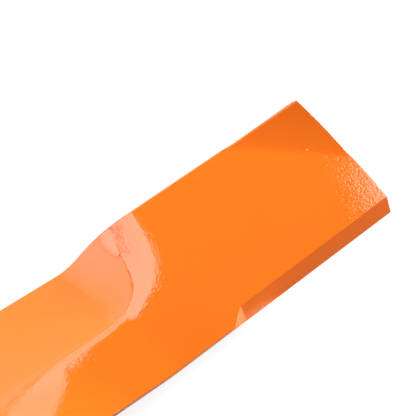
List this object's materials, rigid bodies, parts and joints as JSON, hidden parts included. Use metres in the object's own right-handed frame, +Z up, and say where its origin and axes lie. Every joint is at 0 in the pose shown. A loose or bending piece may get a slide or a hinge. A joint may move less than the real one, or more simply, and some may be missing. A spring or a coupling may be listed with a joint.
{
  "type": "rotary mower blade",
  "caption": "Pressed flat-bar mower blade with a raised level seat, a spindle hole, pitched arms, ground cutting edges and turned-up tip corners.",
  "frame": {"origin": "middle of the spindle hole on the underside of the level seat", "axes": "+Z up along the spindle axis, +X out along one arm, +Y from that arm's cutting edge to its trailing edge"},
  "size_m": [0.4998, 0.0602, 0.0347],
  "materials": {
    "orange_paint": "glossy powder coat with a light orange-peel texture"
  },
  "bodies": {
    "root": {"blade": "orange_paint"}
  },
  "joints": []
}
